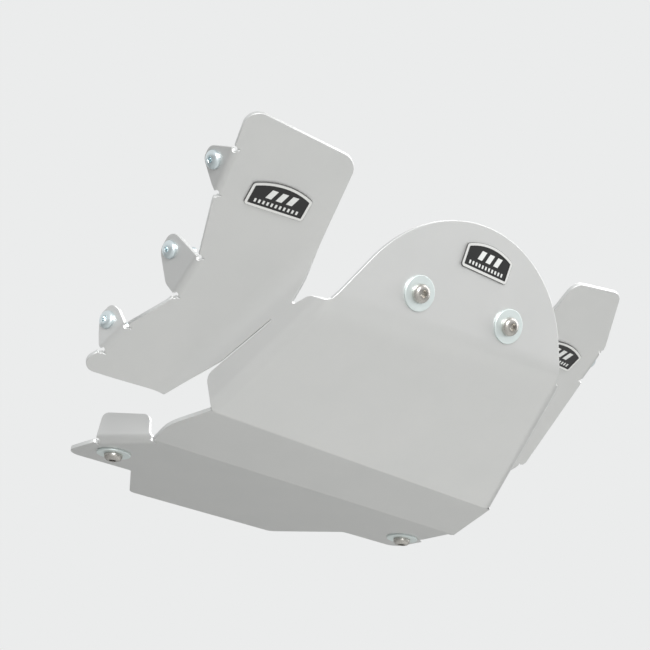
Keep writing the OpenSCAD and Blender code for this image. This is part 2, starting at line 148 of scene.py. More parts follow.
# The rim attribute picks the brighter rim colour, a painted highlight along the edge.
rim = add(tree, "ShaderNodeAttribute", attribute_name="rim").outputs["Fac"]
tint = add(tree, "ShaderNodeMix", {0: rim, 6: tint, 7: colour(RIM_HIGHLIGHT_COLOUR)}, data_type="RGBA").outputs[2]
tree.links.new(tint, shader.inputs["Base Color"])
gloss = add(tree, "ShaderNodeMapRange", {"Value": grit.outputs["Fac"], "To Min": 0.4, "To Max": 0.52})
tree.links.new(gloss.outputs["Result"], shader.inputs["Roughness"])
bump = add(tree, "ShaderNodeBump", {"Height": grit.outputs["Fac"], "Strength": 0.05,
                                    "Distance": 0.1 * MM})
tree.links.new(bump.outputs["Normal"], shader.inputs["Normal"])
shader.inputs["Metallic"].default_value = 0.8
print("Material:", sheet_metal.name)

# %% [markdown]
# ## The flat sheet and its folds
# A folded sheet is simplest to describe before it is folded, as its maker does: one outline,
# cut flat, and a list of straight folds. Coordinates are millimetres forwards and to the left of
# the middle of the belly's front fold. A fold has a start, a heading, an angle and an inner
# radius, and what it turns lies to the left of its heading. A negative angle turns it outwards.


# %% A fold and a rounded outline
SHEET_T = 3.0


def heading(v):
    return math.degrees(math.atan2(v[1], v[0]))


def ahead(angle):
    return np.array([math.cos(math.radians(angle)), math.sin(math.radians(angle))])


def left_of(angle):
    return np.array([-math.sin(math.radians(angle)), math.cos(math.radians(angle))])


class Fold:
    """A straight fold of the flat sheet, in millimetres and degrees."""

    def __init__(self, start, direction, angle, radius):
        self.start, self.direction = np.array(start[:2], float), direction
        self.angle, self.radius = angle, radius
        self.centre = radius + SHEET_T if angle > 0 else -radius
        self.reach = abs(self.centre) * math.tan(math.radians(abs(angle)) / 2)

    def local(self, points):
        """Points of the flat sheet as distances along and across the fold."""
        q = np.asarray(points, float)[..., :2] - self.start
        return q @ ahead(self.direction), q @ left_of(self.direction)

    def beside(self, *points):
        """Flat points from distances along and across the fold, corner radii kept."""
        return [(*(self.start + p[0] * ahead(self.direction) + p[1] * left_of(self.direction)), *p[2:])
                for p in points]

    def matrix(self):
        """The turn that the fold gives to everything beyond it, as a matrix in millimetres."""
        to_fold = Matrix.Translation((*self.start, 0)) @ Matrix.Rotation(
            math.radians(self.direction), 4, "Z")
        return to_fold @ Matrix.Rotation(math.radians(self.angle), 4, "X") @ to_fold.inverted()


def outline(corners, step=10):
    """Points of an outline from corners (x, y) or (x, y, radius)."""
    points = []
    for i, corner in enumerate(corners):
        a, b, c = (np.array(corners[(i + k) % len(corners)][:2], float) for k in (-1, 0, 1))
        if len(corner) < 3:
            points.append(b)
            continue
        u, v = (a - b) / np.linalg.norm(a - b), (c - b) / np.linalg.norm(c - b)
        half = math.acos(u @ v) / 2
        centre = b + (u + v) / np.linalg.norm(u + v) * corner[2] / math.sin(half)
        first = b + u * corner[2] / math.tan(half) - centre
        last = b + v * corner[2] / math.tan(half) - centre
        turn = math.copysign(180 - 2 * math.degrees(half), first[0] * last[1] - first[1] * last[0])
        steps = max(2, math.ceil(abs(turn) / step))
        points += [centre + first[0] * ahead(turn * k / steps) + first[1] * left_of(turn * k / steps)
                   for k in range(steps + 1)]
    return np.array(points)


print("A corner of 9 mm radius has", len(outline([(0, 0), (9, 0, 9), (9, 9)])) - 2, "points")

# %% [markdown]
# ## Main folds and the middle strip
# The belly, the band, the front and the tongue are one strip with three folds across it. They
# lean a degree or two, because the plate's two sides differ.

# %% Middle strip
belly_fold = Fold((0, 0), 1.8 - 90, 10, 3)
band_fold = Fold((58, 0), 3.4 - 90, 26, 3)
tongue_fold = Fold((173, 0), -1.9 - 90, 35, 34)
right_low, right_top = np.array([65.5, -130]), np.array([170.2, -110.4])
left_low, left_top = np.array([50.2, 133.5]), np.array([168.8, 104.3])
right_flange_fold = Fold(right_top, heading(right_low - right_top), 55, 9)
left_flange_fold = Fold(left_low, heading(left_top - left_low), 58.5, 9)
right_wing_fold = Fold(right_flange_fold.beside((0, 28.6))[0],
                       right_flange_fold.direction + 1.7, -48, 20)
left_wing_fold = Fold(left_flange_fold.beside((0, 72))[0], left_flange_fold.direction - 0.4, -55, 20)

TONGUE_CENTRE, TONGUE_R = np.array([158, 0]), 97
right_shoulder, left_shoulder = np.array([174.5, -103.6]), np.array([169.4, 101.5])


def tangent_angle(p):
    """Where the tangent from a shoulder meets the tongue's round top, in degrees."""
    away = p - TONGUE_CENTRE
    aside = math.degrees(math.acos(TONGUE_R / np.linalg.norm(away)))
    return heading(away) - math.copysign(aside, p[1])


tongue_arc = [tuple(TONGUE_CENTRE + TONGUE_R * ahead(a))
              for a in np.linspace(tangent_angle(right_shoulder), tangent_angle(left_shoulder), 56)]
right_rear_fold_ends = ((0.4, -132.9), (-37.6, -154.8))
left_rear_fold_ends = ((-44, 150.8), (-7.8, 148.5))
middle_outline = outline([
    tuple(left_shoulder), tuple(left_top), tuple(left_low), left_rear_fold_ends[1],
    left_rear_fold_ends[0], (-79.5, 152, 10), (-79.5, 98, 5), (-134, 66.5, 8), (-134, -66.5, 8),
    (-79.5, -99.5, 5), (-79.5, -155, 12), right_rear_fold_ends[1], right_rear_fold_ends[0],
    (30, -139.5, 40), tuple(right_low), tuple(right_top), tuple(right_shoulder), *tongue_arc])
print("Middle strip:", len(middle_outline), "points")

# %% [markdown]
# ## Screw tabs
# Each wing ends in small tabs that are folded inwards and take a screw. A tab stands in a
# notch with a thin slot beside its bend and a round relief at each end of its fold, so
# that the metal doesn't tear when it is folded. Two plain tabs on the belly stand up straight.

# %% Tabs
RELIEF_R, RELIEF_SLOT, TAB_BEND_R, TAB_CLEAR = 2.2, 0.8, 3, 12


class Tab:
    """A folded tab: both ends of its fold, its angle, its outline and its screw hole."""

    def __init__(self, ends, angle, corners, hole=None):
        a, b = (np.array(e[:2], float) for e in ends)
        self.fold = Fold(a, heading(b - a), angle, TAB_BEND_R)
        self.root, self.hole, self.ends = np.linalg.norm(b - a), hole, (a, b)
        foot = -self.fold.reach
        self.shape = np.array([p[:2] for p in self.fold.beside(
            *outline([*corners, (self.root, 0), (self.root, foot), (0, foot), (0, 0)]))])
        self.gaps = [np.array(self.fold.beside(*corners)) for corners in (
            ((0, foot), (self.root, foot), (self.root, TAB_CLEAR), (0, TAB_CLEAR)),
            ((-RELIEF_SLOT, foot), (self.root + RELIEF_SLOT, foot), (self.root + RELIEF_SLOT, 0),
             (-RELIEF_SLOT, 0)))]


right_tabs = [
    Tab(right_wing_fold.beside((-39.3, 92.3), (-9.3, 79.2)), 62,
        [(0, 3), (10, 20, 8), (20, 20.5, 6), (29.5, 6.5)], (15.5, 12)),
    Tab(right_wing_fold.beside((31.6, 54.9), (62.3, 46.9)), 66,
        [(3.5, 32, 8), (20, 31, 8), (32, 12, 8)], (13.5, 23.5)),
    Tab(right_wing_fold.beside((98.9, 55.6), (123.2, 55.1)), 72,
        [(-0.4, 15), (2.5, 22.5, 5), (14, 22.5, 7), (20.5, 12, 6), (24, 5)], (10, 14.5))]
left_tabs = [
    Tab(left_wing_fold.beside((78.6, 36.2), (107.2, 39.4)), 62,
        [(0.5, 6.5), (8, 20.5, 6), (20, 20, 8), (28, 3)], (13, 12)),
    Tab(left_wing_fold.beside((-31.9, 5.9), (-12.9, 24.1)), 72,
        [(0, 8), (6, 22.5, 7), (20, 22, 7), (26, 6)], (12.5, 14.5))]
rear_tabs = [
    Tab(right_rear_fold_ends, 90, [(0, 2), (3, 7, 8), (4, 19.5, 6), (41, 21.5, 5), (44, 2)]),
    Tab(left_rear_fold_ends, 90, [(0, 2), (2.5, 21.5, 5), (34, 19.5, 6), (36, 2)])]
all_tabs = [*right_tabs, *left_tabs, *rear_tabs]
print("Tabs:", len(all_tabs))

# %% [markdown]
# ## Flanges and wings
# The right wing and its flange are one outline with a slit that frees the wing's root. On the
# left the wing's upper part is free of the flange too, and leans inwards. Each outline starts a
# little inside the front, so that its bend joins the front along the whole fold.

# %% Flange and wing outlines
SLIT_W, BEHIND_SHOULDER = 0.9, 8
LEFT_ROOT_END, LEFT_ROOT_GAP = 66.4, 1.5
half_slit = SLIT_W / 2
right_outline = outline([
    tuple(right_shoulder), *right_flange_fold.beside((-0.8, 2.8, 4), (3.5, 9.6, 8)),
    *right_wing_fold.beside((18.6, -15.6, 1.2), (1.3, -10.3, 60), (-81.9, 26, 13),
                            (-66.4, 105.6, 9)),
    *right_tabs[0].ends, *right_wing_fold.beside((-5.1, 77.6, 4)), *right_tabs[1].ends,
    *right_wing_fold.beside((68.7, 47.5, 8)), *right_tabs[2].ends,
    *right_wing_fold.beside((143.3, 61.9, 8), (135.5, 33.4, 40), (124.8, -2.1, 1.5),
                            (79, half_slit - 12.1), (34, half_slit - 14.1),
                            (34, -half_slit - 14.1), (79, -half_slit - 12.1)),
    *right_flange_fold.beside((93.3, 19.3, 9), (106, 0), (103, -13.6))])
left_flange_outline = outline([
    tuple(left_shoulder), (*left_top, 3),
    *left_wing_fold.beside((LEFT_ROOT_END, 0.9), (LEFT_ROOT_END - 10, 41), (-38.9, 17.6),
                           (-28.9, -5.7)),
    *left_flange_fold.beside((-14.5, 28.9, 30), (0, 0), (3.8, -13.5)),
    tuple(left_shoulder - BEHIND_SHOULDER * left_of(left_flange_fold.direction))])
left_wing_outline = outline([
    *left_wing_fold.beside((-22.2, -40), (LEFT_ROOT_END, -17), (LEFT_ROOT_END + LEFT_ROOT_GAP, 1.8),
                           (84.4, -17.2, 20), (108.8, -28, 30), (139.4, -26.5, 40), (170.6, -19.6, 9),
                           (163.9, 25.9, 11), (113.5, 39.1, 4)),
    *left_tabs[0].ends[::-1], *left_wing_fold.beside((72.8, 36.1, 4), (-8.4, 27.4, 2)),
    *left_tabs[1].ends[::-1], *left_wing_fold.beside((-36, 1.8, 4))])
print("Right outline:", len(right_outline), "points, left:", len(left_flange_outline), "and",
      len(left_wing_outline))

# %% [markdown]
# ## One flat blank
# These outlines overlap, and notches and holes have to come out of them. A constrained
# triangulation solves that in one step: it takes every outline as it is, cuts them all at their
# crossings, and says which outlines each small triangle lies in. The lines where one outline
# takes over from the next, at the edges of the bends, are cut too.

# %% Cut the outlines
SCREW_HOLE_R, WING_HOLE_R = 4.4, 3.4
FRONT_SCREWS = [(197, -39.9), (197, 39.9)]
REAR_SCREWS = [(-48.9, -132.7), (-48.9, 132.7)]
LIMIT, WELD = 400, 0.001


def circle(centre, radius, steps=40):
    return np.array([np.array(centre) + radius * ahead(360 * k / steps) for k in range(steps)])


shapes = {"middle": [middle_outline], "right": [right_outline], "left flange": [left_flange_outline],
          "left wing": [left_wing_outline], "tab": [t.shape for t in all_tabs],
          "wing gap": [g for t in right_tabs + left_tabs for g in t.gaps],
          "belly gap": [g for t in rear_tabs for g in t.gaps],
          "hole": [circle(e, RELIEF_R) for t in all_tabs for e in t.ends]
          + [circle(t.fold.beside(t.hole)[0], WING_HOLE_R) for t in all_tabs if t.hole]
          + [circle(p, SCREW_HOLE_R) for p in FRONT_SCREWS + REAR_SCREWS]}
cuts = [(right_flange_fold, -right_flange_fold.reach), (left_flange_fold, -left_flange_fold.reach),
        (left_wing_fold, left_wing_fold.reach), (band_fold, band_fold.reach),
        (tongue_fold, -tongue_fold.reach), (belly_fold, -belly_fold.reach)]


def cdt(points, edges, faces):
    """Constrained triangulation of flat points. It also gives each triangle's input faces."""
    made = delaunay_2d_cdt([Vector(p) for p in points], edges, faces, 0, WELD, True)
    return np.array([tuple(v) for v in made[0]]), made[2], made[5]


def anticlockwise(loop):
    after = np.roll(loop, -1, 0)
    return loop if (loop[:, 0] * after[:, 1] - loop[:, 1] * after[:, 0]).sum() > 0 else loop[::-1]


points, faces, names = [], [], []
for name, loops in shapes.items():
    for loop in loops:
        faces.append(list(range(len(points), len(points) + len(loop))))
        names.append(name)
        points += [tuple(p) for p in anticlockwise(loop[:, :2])]
edges = []
for fold, across in cuts:
    edges.append((len(points), len(points) + 1))
    points += fold.beside((-LIMIT, across), (LIMIT, across))
edges.append((len(points), len(points) + 1))
points += left_wing_fold.beside((LEFT_ROOT_END + LEFT_ROOT_GAP, -LIMIT),
                                (LEFT_ROOT_END + LEFT_ROOT_GAP, LIMIT))
flat, triangles, inside = cdt(points, edges, faces)
print("Cut outlines:", len(faces), "shapes,", len(triangles), "triangles")

# %% [markdown]
# ## Metal or air
# Plain rules now pick the triangles that are metal. A hole always wins, and a tab comes next.
# The middle strip counts up to the bends of the flanges, and a flange or a wing from there on.
# Each gap takes metal only from the sheet that its own tab is cut out of.


# %% Pick the metal
def kept(centre, within):
    """True where the blank has metal, from the outlines that a spot lies in."""
    across = {f: f.local(centre)[1] for f in (belly_fold, band_fold, tongue_fold, right_flange_fold,
                                              left_flange_fold, left_wing_fold)}
    if "hole" in within:
        return False
    if "tab" in within:
        return True
    front = across[band_fold] > band_fold.reach and across[tongue_fold] < -tongue_fold.reach
    beyond = any(across[f] > -f.reach for f in (right_flange_fold, left_flange_fold))
    on_belly = across[belly_fold] < -belly_fold.reach
    if "middle" in within and not (front and beyond) and not (on_belly and "belly gap" in within):
        return True
    if "wing gap" in within:
        return False
    if "right" in within:
        return across[right_flange_fold] > -right_flange_fold.reach
    before_wing = across[left_wing_fold] < left_wing_fold.reach
    if "left flange" in within and before_wing:
        return across[left_flange_fold] > -left_flange_fold.reach
    root = left_wing_fold.local(centre)[0] < LEFT_ROOT_END + LEFT_ROOT_GAP
    return "left wing" in within and not (before_wing and root)


metal = [t for t, ids in zip(triangles, inside)
         if kept(flat[list(t)].mean(0), {names[i] for i in ids})]
print("Blank:", len(metal), "triangles of metal")

# %% [markdown]
# ## The edge of the blank
# Edges that belong to one kept triangle alone form closed loops: one outer edge, and one round
# each hole. Spare points on straight stretches and points closer than a twentieth of a
# millimetre are dropped, so that the next step has clean loops to work from.


# %% Boundary loops
def boundary_loops(points, triangles):
    """Closed loops round the triangles, with the metal on the left."""
    ways = set()
    for t in triangles:
        a, b, c = (points[i] for i in t)
        left_turn = (b[0] - a[0]) * (c[1] - a[1]) > (b[1] - a[1]) * (c[0] - a[0])
        t = list(t) if left_turn else list(t)[::-1]
        ways.update((t[k], t[(k + 1) % 3]) for k in range(3))
    onwards = {}
    for a, b in sorted(ways):
        if (b, a) not in ways:
            onwards.setdefault(a, []).append(b)
    loops = []
    while onwards:
        at, loop = min(onwards), []
        while at in onwards:
            loop.append(at)
            following = onwards[at].pop(0)
            if not onwards[at]:
                del onwards[at]
            at = following
        loops.append(tidy_loop([points[i] for i in loop]))
    return [loop for loop in loops if len(loop) > 2]


def tidy_loop(loop, near=0.05, straight=0.002):
    """The loop without doubled points and without points on a straight line."""
    points = [p for i, p in enumerate(loop) if np.linalg.norm(p - loop[i - 1]) > near]
    while True:
        n = len(points)
        for i, p in enumerate(points):
            before, after = p - points[i - 1], points[(i + 1) % n] - p
            area = abs(before[0] * after[1] - before[1] * after[0])
            if area < straight * np.linalg.norm(before + after) and before @ after > 0:
                del points[i]
                break
        else:
            return np.array(points)


loops = boundary_loops(flat, metal)
loops.sort(key=len, reverse=True)
print("Loops:", [len(loop) for loop in loops])

# %% [markdown]
# ## Rows for the bends and a round rim
# A bend needs rows of points across it, or it would fold like paper. The rim of a real sheet is
# never knife sharp: its rounding, 0.4 mm here, catches a thin line of light. Both are added as
# lines of the same triangulation: copies of the loops, moved into the metal, and rows along
# each fold about five degrees apart.

# %% Triangulate with rows and rim
RIM_R = 0.4
ROW_STEP = 5


def moved_in(loop, depth):
    """The loop, moved into the metal on its left."""
    after = np.roll(loop, -1, 0) - loop
    after /= np.linalg.norm(after, axis=1)[:, None]
    n_after = np.stack([-after[:, 1], after[:, 0]], 1)
    n_before = np.roll(n_after, 1, 0)
    share = 1 + np.maximum((n_after * n_before).sum(1), -0.7)
    return loop + depth * (n_after + n_before) / share[:, None]


points, edges = [], []
for loop in loops:
    for depth in (0, RIM_R * (1 - math.sqrt(0.5)), RIM_R):
        first, n = len(points), len(loop)
        points += [tuple(p) for p in (moved_in(loop, depth) if depth else loop)]
        edges += [(first + k, first + (k + 1) % n) for k in range(n)]
spans = {belly_fold: (-160, 150), band_fold: (-150, 145), tongue_fold: (-112, 112),
         right_flange_fold: (-8, 112), left_flange_fold: (-8, 130),
         right_wing_fold: (-75, 140), left_wing_fold: (-40, 70)}
for tab in all_tabs:
    spans[tab.fold] = (0.02, tab.root - 0.02)
for fold, (low, high) in spans.items():
    rows = math.ceil(abs(fold.angle) / ROW_STEP)
    for k in range(rows + 1):
        across = fold.reach * (2 * k / rows - 1)
        edges.append((len(points), len(points) + 1))
        points += fold.beside((low, across), (high, across))
flat, triangles, _ = cdt(points, edges, [])


def within(points, loops):
    """True for the points inside an odd number of the loops."""
    inside = np.zeros(len(points), bool)
    for loop in loops:
        for a, b in zip(loop, np.roll(loop, -1, 0)):
            hit = (a[1] > points[:, 1]) != (b[1] > points[:, 1])
            x = a[0] + (points[:, 1] - a[1]) * (b[0] - a[0]) / (b[1] - a[1] + 1e-30)
            inside ^= hit & (points[:, 0] < x)
    return inside


triangles = np.array([list(t) for t in triangles])
a, b, c = (flat[triangles[:, k]] for k in range(3))
clockwise = np.cross(b - a, c - a) < 0
triangles[clockwise] = triangles[clockwise][:, ::-1]
centres = flat[triangles].mean(1)
triangles = triangles[within(centres, loops)]
used, triangles = np.unique(triangles, return_inverse=True)
flat, triangles = flat[used], triangles.reshape(-1, 3)
centres = flat[triangles].mean(1)
print("Blank with rows and rim:", len(triangles), "triangles")

# %% [markdown]
# ## Regions of the blank
# A fold moves everything beyond it, but "beyond" isn't a half plane here: a line drawn on from a
# tab's fold runs across the whole wing. So each point is given a region first. Tabs have the
# numbers 0 to 6, in their order, and the four large regions have numbers of their own.

# %% Regions
RIGHT, LEFT_FLANGE, LEFT_WING, MIDDLE = range(100, 104)


def region_of_triangles():
    """A number for the part of the blank that each triangle belongs to."""
    region = np.full(len(centres), MIDDLE)
    corner = tongue_fold.local(centres)[1] > -tongue_fold.reach
    for number, fold, shape in ((RIGHT, right_flange_fold, right_outline),
                                (LEFT_FLANGE, left_flange_fold, left_flange_outline)):
        same_side = centres[:, 1] * fold.start[1] > 0
        beyond = fold.local(centres)[1] > -fold.reach
        region[beyond & (within(centres, [shape]) | (corner & same_side))] = number
    along, across = left_wing_fold.local(centres)
    free = (across > left_wing_fold.reach) | (along > LEFT_ROOT_END + LEFT_ROOT_GAP)
    region[within(centres, [left_wing_outline]) & free] = LEFT_WING
    for i, tab in enumerate(all_tabs):
        region[within(centres, [tab.shape])] = i
    return region


region = np.full(len(flat), MIDDLE)
for number in (MIDDLE, LEFT_FLANGE, LEFT_WING, RIGHT, *range(len(all_tabs))):
    region[triangles[region_of_triangles() == number].ravel()] = number
is_right = (region == RIGHT) | (region < len(right_tabs))
left_tab = (region >= len(right_tabs)) & (region < len(right_tabs) + len(left_tabs))
on_left_wing = (region == LEFT_WING) | left_tab
on_a_side = is_right | on_left_wing | (region == LEFT_FLANGE)
print("Points by region:", {int(r): int((region == r).sum()) for r in np.unique(region)})

# %% [markdown]
# ## Which fold moves which point
# Every point gets one number for each fold: 0 if the fold leaves it alone, 1 if it lies in or
# before the bend and moves by its own distance, and 2 if it lies beyond and turns as one with
# the rest. At the corners where a flange meets the tongue, two bends run into each other, so
# the tongue's number fades from 1 to 0 across the flange's bend and the metal flows round.


# %% Numbers for the folds
def by_place(fold):
    return np.where(fold.local(flat)[1] > fold.reach, 2.0, 1.0)


def fade(fold, end=1.0):
    """1 at the near side of the fold's bend, falling smoothly to 0 past its middle."""
    t = np.clip((end - fold.local(flat)[1]) / (end + fold.reach), 0, 1)
    return t * t * (3 - 2 * t)


folds = {f"tab_{i}": tab.fold for i, tab in enumerate(all_tabs)}
weights = {f"tab_{i}": np.where(region == i, by_place(tab.fold), 0.0)
           for i, tab in enumerate(all_tabs)}
for name, fold, own, beyond in (
        ("right_wing", right_wing_fold, RIGHT, is_right),
        ("left_wing", left_wing_fold, LEFT_FLANGE, on_left_wing),
        ("right_flange", right_flange_fold, RIGHT, is_right),
        ("left_flange", left_flange_fold, LEFT_FLANGE, on_left_wing),
        ("tongue", tongue_fold, MIDDLE, np.zeros(len(flat), bool)),
        ("band", band_fold, MIDDLE, on_a_side), ("belly", belly_fold, MIDDLE, on_a_side)):
    folds[name] = fold
    weights[name] = np.where(region == own, by_place(fold), np.where(beyond, 2.0, 0.0))
for own, fold in ((RIGHT, right_flange_fold), (LEFT_FLANGE, left_flange_fold)):
    weights["tongue"] = np.where(region == own, fade(fold), weights["tongue"])
print("Folds in their order:", *folds)

# %% [markdown]
# ## From flat shape to flat plate
# The plate gets its thickness here: an outer skin at height 0, an inner skin at 3 mm and a wall
# round every loop. Near the rim both skins come down in a quarter circle. The direction in which
# light leaves each point is stored too, because smooth shading would otherwise bleed the rim's
# tilt into the large flat faces.


# %% Thickness, rim and normals
def rim_facts(points, loops):
    """Each point's distance to the nearest edge, and the outward direction there."""
    a = np.concatenate(loops)
    b = np.concatenate([np.roll(loop, -1, 0) for loop in loops])
    way = b - a
    length = np.linalg.norm(way, axis=1)
    right = np.stack([way[:, 1], -way[:, 0]], 1) / length[:, None]
    distance, outward = np.empty(len(points)), np.empty((len(points), 2))
    for i, p in enumerate(points):
        t = np.clip(((p - a) * way).sum(1) / length ** 2, 0, 1)
        gap = np.linalg.norm(p - a - t[:, None] * way, axis=1)
        nearest = gap < gap.min() + 1e-3
        distance[i] = gap.min()
        mean = right[nearest].mean(0)
        outward[i] = mean / max(np.linalg.norm(mean), 1e-9)
    return distance, outward


distance, outward = rim_facts(flat, loops)
dip = np.clip(1 - distance / RIM_R, 0, 1)
rise = np.sqrt(1 - dip ** 2)
top = SHEET_T - RIM_R + RIM_R * rise
n = len(flat)
vertices = np.concatenate([np.column_stack([flat, SHEET_T - top]),
                           np.column_stack([flat, top])]) * MM
normals = np.concatenate([np.column_stack([outward * dip[:, None], -rise]),
                          np.column_stack([outward * dip[:, None], rise])])
ways = {(int(t[k]), int(t[(k + 1) % 3])) for t in triangles for k in range(3)}
walls = [(a, b, b + n, a + n) for a, b in sorted(ways) if (b, a) not in ways]
blank_mesh = bpy.data.meshes.new("blank")
blank_mesh.from_pydata(vertices.tolist(), [], [tuple(t[::-1]) for t in triangles.tolist()]
                       + [tuple(v + n for v in t) for t in triangles.tolist()] + walls)
for name, values in weights.items():
    blank_mesh.attributes.new(name, "FLOAT", "POINT").data.foreach_set("value", np.tile(values, 2))
# rim marks where the edge rounds off; the sheet material paints it brighter there, a painted highlight.
blank_mesh.attributes.new("rim", "FLOAT", "POINT").data.foreach_set("value", np.tile(dip, 2))
facing = blank_mesh.attributes.new("facing", "FLOAT_VECTOR", "POINT")
facing.data.foreach_set("vector", normals.ravel())
blank = new_object("blank", blank_mesh)
print("Flat plate:", len(blank_mesh.vertices), "vertices,", len(blank_mesh.polygons), "faces")

# %% [markdown]
# ## A node tree that makes one fold
# Bending follows one rule, so one Geometry Nodes tree does it for every fold. Seen along the
# fold line, a bend is a turn about one centre. How far across it a point lies gives the point's
# share of the angle, and what sticks out on either side stays straight. A point with the number
# 2 is reckoned as if it lay far across, so it takes the whole angle. The stored light direction
# turns by the same angle.

# %% Fold tree
FAR_ACROSS = 10.0
fold_tree, given = geometry_tree("Fold", {
    "Sheet": "Geometry", "Points": "String", "Line start": "Vector", "Heading": "Float",
    "Angle": "Float", "Centre height": "Float", "Reach": "Float"}, "Sheet")
number = add(fold_tree, "GeometryNodeInputNamedAttribute", {"Name": given["Points"]})
here = add(fold_tree, "GeometryNodeInputPosition")
from_start = add(fold_tree, "ShaderNodeVectorMath", {0: here, 1: given["Line start"]},
                 operation="SUBTRACT")
against = add(fold_tree, "ShaderNodeMath", {0: given["Heading"], 1: -1.0}, operation="MULTIPLY")
in_line = add(fold_tree, "ShaderNodeVectorRotate", {"Vector": from_start, "Angle": against},
              rotation_type="Z_AXIS")
seen = add(fold_tree, "ShaderNodeSeparateXYZ", {0: in_line}).outputs

near = add(fold_tree, "ShaderNodeMath", {0: given["Reach"], 1: -1.0}, operation="MULTIPLY")
extra = add(fold_tree, "ShaderNodeMapRange", {"Value": number, "From Min": 1.0, "From Max": 2.0,
                                              "To Max": FAR_ACROSS})
across = add(fold_tree, "ShaderNodeMath", {0: seen["Y"], 1: extra}, operation="ADD")
bent = add(fold_tree, "ShaderNodeMapRange", {"Value": across, "From Min": near,
                                             "From Max": given["Reach"], "To Max": given["Angle"]})
in_bend = add(fold_tree, "ShaderNodeClamp", {"Value": across, "Min": near, "Max": given["Reach"]})
straight = add(fold_tree, "ShaderNodeMath", {0: seen["Y"], 1: in_bend}, operation="SUBTRACT")
upright = add(fold_tree, "ShaderNodeMath", {0: straight, 1: near}, operation="ADD")
unbent = add(fold_tree, "ShaderNodeCombineXYZ", {"X": seen["X"], "Y": upright, "Z": seen["Z"]})
centre = add(fold_tree, "ShaderNodeCombineXYZ", {"Y": near, "Z": given["Centre height"]})
folded = add(fold_tree, "ShaderNodeVectorRotate", {"Vector": unbent, "Center": centre, "Angle": bent},
             rotation_type="X_AXIS")

back = add(fold_tree, "ShaderNodeVectorRotate", {"Vector": folded, "Angle": given["Heading"]},
           rotation_type="Z_AXIS")
there = add(fold_tree, "ShaderNodeVectorMath", {0: back, 1: given["Line start"]}, operation="ADD")
place = add(fold_tree, "ShaderNodeMix", {0: number, 4: here, 5: there},
            data_type="VECTOR").outputs[1]
axis = add(fold_tree, "ShaderNodeVectorRotate", {"Vector": (1, 0, 0), "Angle": given["Heading"]},
           rotation_type="Z_AXIS")
moves = add(fold_tree, "ShaderNodeClamp", {"Value": number})
angle = add(fold_tree, "ShaderNodeMath", {0: bent, 1: moves}, operation="MULTIPLY")
facing = add(fold_tree, "GeometryNodeInputNamedAttribute", {"Name": "facing"},
             data_type="FLOAT_VECTOR")
facing = add(fold_tree, "ShaderNodeVectorRotate", {"Vector": facing, "Axis": axis, "Angle": angle},
             rotation_type="AXIS_ANGLE")
stored = add(fold_tree, "GeometryNodeStoreNamedAttribute",
             {"Geometry": given["Sheet"], "Name": "facing", "Value": facing},
             data_type="FLOAT_VECTOR", domain="POINT")
moved = add(fold_tree, "GeometryNodeSetPosition", {"Geometry": stored, "Position": place})
add(fold_tree, "NodeGroupOutput", {"Sheet": moved})
print("Fold tree:", len(fold_tree.nodes), "nodes")

# %% [markdown]
# ## Folding the blank
# The press brake starts with the tabs and works inwards to the belly, so that each fold is
# made while everything before it is still flat. The tree below chains one Fold group for each of
# the fourteen folds in that order.

# %% Fold the plate
plate_tree, given = geometry_tree("Folded plate", {"Blank": "Geometry", "Metal": "Material"}, "Plate")
sheet = given["Blank"]
for name, fold in folds.items():
    group = plate_tree.nodes.new("GeometryNodeGroup")
    group.node_tree = fold_tree
    plate_tree.links.new(sheet, group.inputs["Sheet"])
    for socket, value in (("Points", name), ("Line start", (*(fold.start * MM), 0)),
                          ("Heading", math.radians(fold.direction)), ("Angle", math.radians(fold.angle)),
                          ("Centre height", fold.centre * MM), ("Reach", fold.reach * MM)):
        group.inputs[socket].default_value = value
    sheet = group.outputs["Sheet"]
real = add(plate_tree, "GeometryNodeRealizeInstances", {0: sheet})
coated = add(plate_tree, "GeometryNodeSetMaterial", {"Geometry": real, "Material": given["Metal"]})
add(plate_tree, "NodeGroupOutput", {"Plate": coated})


def run_tree(source, tree, name, **inputs):
    """A plain mesh object from a source object and a geometry tree, with its named inputs set."""
    modifier = source.modifiers.new("nodes", "NODES")
    modifier.node_group = tree
    for item in tree.interface.items_tree:
        if item.in_out == "INPUT" and item.name.replace(" ", "_").lower() in inputs:
            modifier[item.identifier] = inputs[item.name.replace(" ", "_").lower()]
    evaluated = source.evaluated_get(bpy.context.evaluated_depsgraph_get())
    mesh = bpy.data.meshes.new_from_object(evaluated)
    bpy.data.objects.remove(source)
    mesh.name = name
    return new_object(name, mesh)


plate = run_tree(blank, plate_tree, "folded_plate", metal=sheet_metal)
facing = np.empty(len(plate.data.vertices) * 3)
plate.data.attributes["facing"].data.foreach_get("vector", facing)
plate.data.polygons.foreach_set("use_smooth", np.ones(len(plate.data.polygons), bool))
plate.data.normals_split_custom_set_from_vertices(facing.reshape(-1, 3).tolist())
for name in ("facing", *weights):
    plate.data.attributes.remove(plate.data.attributes[name])
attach(plate, "root")
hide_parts("skid_plate")
print("Plate:", len(plate.data.polygons), "faces, box in mm",
      [round(v / MM, 1) for v in plate.dimensions])

# %% [markdown]
# ## Frames of the faces
# Each screw and badge sits on one face of the folded plate. Multiplying the turns of all the folds
# that come before a face takes the flat sheet's coordinates to their folded place. One more turn
# points a piece's own +Z outwards from the sheet's outer side.


# %% Frames of the faces
def face(*chain):
    """The matrix of a face, from the folds between the belly and it, in millimetres."""
    made = Matrix.Identity(4)
    for fold in chain:
        made = made @ fold.matrix()
    return made


def outside(face_matrix, spot, turn=0):
    """The place of a piece that stands on a face's outer side, in metres."""
    made = (face_matrix @ Matrix.Translation((*spot, 0)) @ Matrix.Rotation(math.pi, 4, "X")
            @ Matrix.Rotation(math.radians(turn), 4, "Z"))
    made.translation *= MM
    return made


